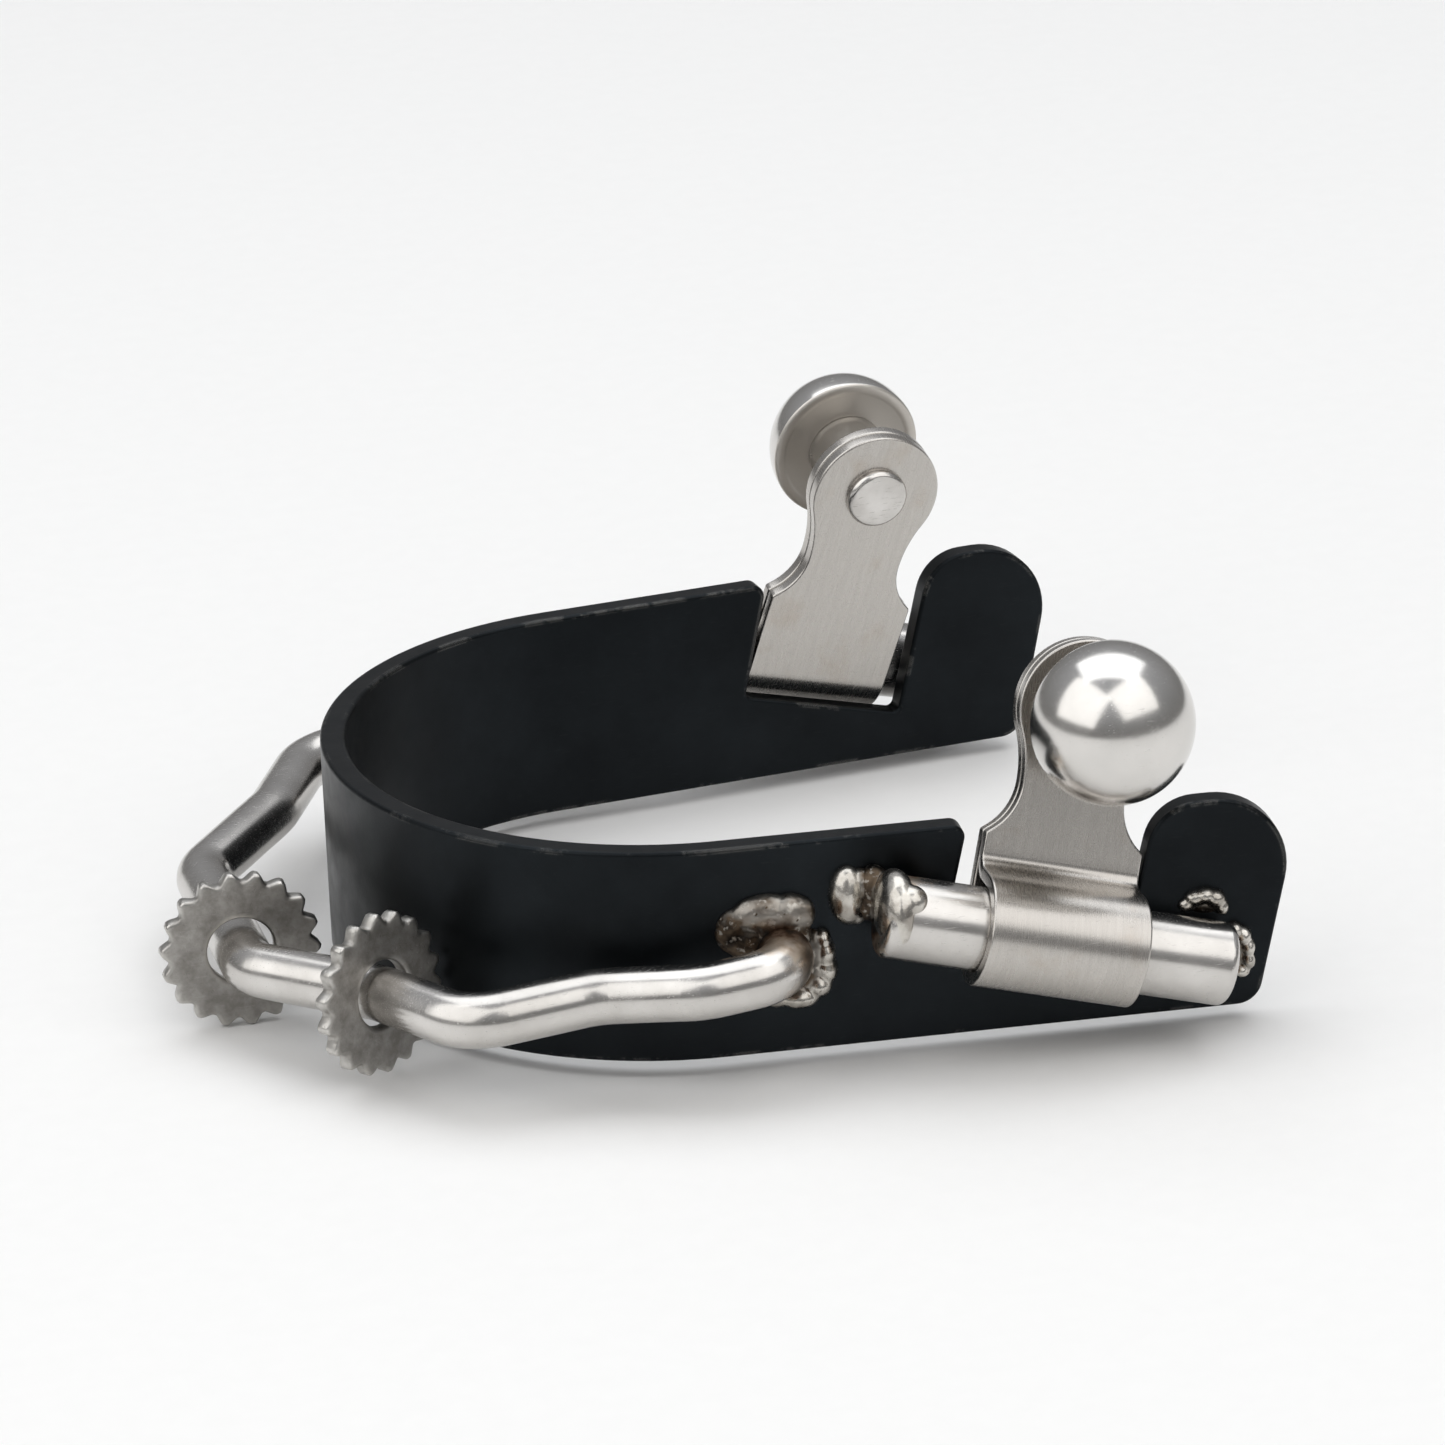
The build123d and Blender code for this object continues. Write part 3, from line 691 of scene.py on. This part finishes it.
WELD_BRIGHT = (0.60, 0.575, 0.53, 1)
WELD_BROWN = (0.105, 0.078, 0.055, 1)
WELD_BLACK = (0.022, 0.018, 0.015, 1)
FOLD_HEIGHT = 0.10    # in mm, like the depth of a pinhole
PINHOLE_DEPTH = 0.30
PINHOLE_REACH = 0.12  # in cells of the noise
NOISE_START = Vector((3.1, 7.7, 1.3))
ROUGH_BEAD = 1.0
SMOOTH_BEAD = 0.35


def make_bead(name, side, drops, roughness, material):
    # Drops run together: united by a fine remesh, then roughened with folds and pinholes
    blob = bmesh.new()
    for middle, half, _ in drops:
        stretched = Matrix.Translation(Vector(middle) * MM) @ Matrix.Diagonal((*[h * MM for h in half], 1))
        bmesh.ops.create_icosphere(blob, subdivisions=3, radius=1.0, matrix=stretched)
    rough = bpy.data.meshes.new("run_together")
    blob.to_mesh(rough)
    blob.free()
    holder = bpy.data.objects.new("run_together", rough)
    bpy.context.scene.collection.objects.link(holder)
    united = holder.modifiers.new("united", "REMESH")
    united.mode = "VOXEL"
    united.voxel_size = WELD_STEP
    softened = holder.modifiers.new("softened", "SMOOTH")
    softened.factor = 0.5
    softened.iterations = 4
    bpy.context.view_layer.update()
    shape = bpy.data.meshes.new_from_object(holder.evaluated_get(bpy.context.evaluated_depsgraph_get()))
    normals = [vertex.normal.copy() for vertex in shape.vertices]
    offset = NOISE_START * (1 if side == "right" else 2)
    points, burn = [], []
    for vertex, normal in zip(shape.vertices, normals):
        spot = vertex.co / MM
        weighed, total = 0.0, 0.0
        for middle, half, drop_burnt in drops:
            away = Vector([(spot[i] - middle[i]) / half[i] for i in range(3)]).length
            share = 1 / (0.02 + max(0.0, away - 0.8) ** 2)
            weighed += drop_burnt * share
            total += share
        burnt = weighed / total
        folds = noise.fractal(spot * 0.8 + offset, 1.0, 2.1, 3)
        cells = noise.voronoi(spot * 0.85 + offset)[0]
        pinhole = max(0.0, 1 - cells[0] / PINHOLE_REACH)
        rise = roughness * (FOLD_HEIGHT * folds * (0.35 + burnt)) - PINHOLE_DEPTH * pinhole * burnt
        points.append(MIRROR[side] @ arm_axes @ (vertex.co + normal * rise * MM))
        burn.append(min(1.0, burnt + 0.6 * pinhole))
    faces = [tuple(face.vertices) for face in shape.polygons]
    bpy.data.objects.remove(holder)
    stands_for = [f"{name}_{side}"]
    return make_piece(
        f"{name}_drops_{side}", points, faces, material, "spur_frame", stands_for, burn
    )


weld_steel, tree, shader, place = start_metal("weld_bead_steel")
burnt = add_node(tree, "ShaderNodeAttribute", attribute_name="wear").outputs["Fac"]
patches = speckle(tree, place, 430.0, 3.0, 0.5)
grit = speckle(tree, place, 2600.0, 3.0)
shine = speckle(tree, place, 1100.0, 3.0)
metal = blend_colours(tree, remap(tree, patches, 0.35, 0.6), WELD_GREY, WELD_BRIGHT)
scale_colour = blend_colours(tree, remap(tree, patches, 0.40, 0.58), WELD_BLACK, WELD_BROWN)
scale_colour = blend_colours(tree, remap(tree, shine, 0.56, 0.66), scale_colour, WELD_GREY)
scaled = calculate(tree, "MULTIPLY_ADD", calculate(tree, "SUBTRACT", patches, 0.5), 0.8, burnt)
scaled = remap(tree, scaled, 0.28, 0.70)
colour = blend_colours(tree, scaled, metal, scale_colour)
roughness = remap(tree, scaled, 0.0, 1.0, 0.17, 0.34)
roughness = calculate(tree, "MULTIPLY_ADD", grit, 0.16, roughness)
height = calculate(tree, "MULTIPLY_ADD", grit, 0.18, patches)
finish_metal(tree, shader, colour, roughness, height, 0.05 * MM)
for side in ("right", "left"):
    for name, drops in BEADS.items():
        make_bead(name, side, drops, ROUGH_BEAD if name == "rowel_bar_weld" else SMOOTH_BEAD, weld_steel)

# Studio. A flat floor of pale paper under three large soft lights, in a dim room that gives polished
# steel something dark to mirror. The camera has a long lens and looks down on the wearer's right side.
VIEW_AZIMUTH = radians(-14.49)
VIEW_ELEVATION = radians(20.90)
VIEW_ROLL = radians(-2.125)
VIEW_DISTANCE = 0.7994
VIEW_AIM = Vector((0.00977, 0.00606, 0.02369))
LENS = 168.1
FLOOR_HALF = 3.0
FLOOR_WHITE = (0.90, 0.895, 0.885, 1)
FLOOR_SHADE = (0.87, 0.865, 0.855, 1)
ROOM_DARK = (0.20, 0.197, 0.193, 1)
ROOM_LIGHT = (0.42, 0.43, 0.45, 1)
SOFT_LIGHTS = [  # azimuth from the camera, elevation, distance, width, height, watts, warmth
    (-58, 40, 1.5, 1.9, 1.5, 10.5, (1.0, 0.99, 0.97)),
    (44, 48, 1.5, 1.6, 1.3, 7.5, (1.0, 0.985, 0.96)),
    (175, 72, 1.6, 1.9, 1.4, 12, (0.97, 0.985, 1.0)),
]


def direction(azimuth, elevation):
    return Vector((sin(azimuth) * cos(elevation), -cos(azimuth) * cos(elevation), sin(elevation)))


floor_mesh = bpy.data.meshes.new("sweep")
corners = [
    (x * FLOOR_HALF, y * FLOOR_HALF, cad_box[0].z) for x, y in ((-1, -1), (1, -1), (1, 1), (-1, 1))
]
floor_mesh.from_pydata(corners, [], [(0, 1, 2, 3)])
floor = bpy.data.objects.new("sweep", floor_mesh)
bpy.context.scene.collection.objects.link(floor)
sweep_paper, tree, shader, place = start_metal("sweep_paper")
fibres = speckle(tree, place, 300.0, 4.0)
colour = blend_colours(tree, fibres, FLOOR_SHADE, FLOOR_WHITE)
roughness = remap(tree, fibres, 0.0, 1.0, 0.85, 0.95)
finish_metal(tree, shader, colour, roughness, fibres, 0.02 * MM, metallic=0.0)
floor_mesh.materials.append(sweep_paper)

world = bpy.data.worlds.new("studio")
world.use_nodes = True
bpy.context.scene.world = world
tree = world.node_tree
tree.nodes.clear()
gaze = tree.nodes.new("ShaderNodeTexCoord").outputs["Generated"]
upward = add_node(tree, "ShaderNodeSeparateXYZ", {0: gaze}).outputs["Z"]
sky = blend_colours(tree, remap(tree, upward, 0.0, 0.8), ROOM_DARK, ROOM_LIGHT)
backdrop = add_node(tree, "ShaderNodeBackground", {"Color": sky, "Strength": 1.0})
world_output = tree.nodes.new("ShaderNodeOutputWorld")
tree.links.new(backdrop.outputs[0], world_output.inputs["Surface"])

for index, (azimuth, elevation, distance, width, height, watts, warmth) in enumerate(SOFT_LIGHTS):
    data = bpy.data.lights.new(f"soft_light_{index}", "AREA")
    data.shape = "RECTANGLE"
    data.size, data.size_y = width, height
    data.energy = watts
    data.color = warmth
    light = bpy.data.objects.new(data.name, data)
    bpy.context.scene.collection.objects.link(light)
    towards = direction(VIEW_AZIMUTH + radians(azimuth), radians(elevation))
    light.location = VIEW_AIM + towards * distance
    light.rotation_mode = "QUATERNION"
    light.rotation_quaternion = (-towards).to_track_quat("-Z", "Y")

camera_data = bpy.data.cameras.new("camera")
camera_data.lens = LENS
camera_data.sensor_width = 36.0
camera_data.clip_start, camera_data.clip_end = 0.01, 20.0
camera = bpy.data.objects.new("camera", camera_data)
bpy.context.scene.collection.objects.link(camera)
bpy.context.scene.camera = camera
back_towards = direction(VIEW_AZIMUTH, VIEW_ELEVATION)
camera.location = VIEW_AIM + back_towards * VIEW_DISTANCE
camera.rotation_mode = "QUATERNION"
level = (-back_towards).to_track_quat("-Z", "Y").to_matrix()
camera.rotation_quaternion = (level @ Matrix.Rotation(VIEW_ROLL, 3, "Z")).to_quaternion()
bpy.context.scene.view_settings.view_transform = "Standard"
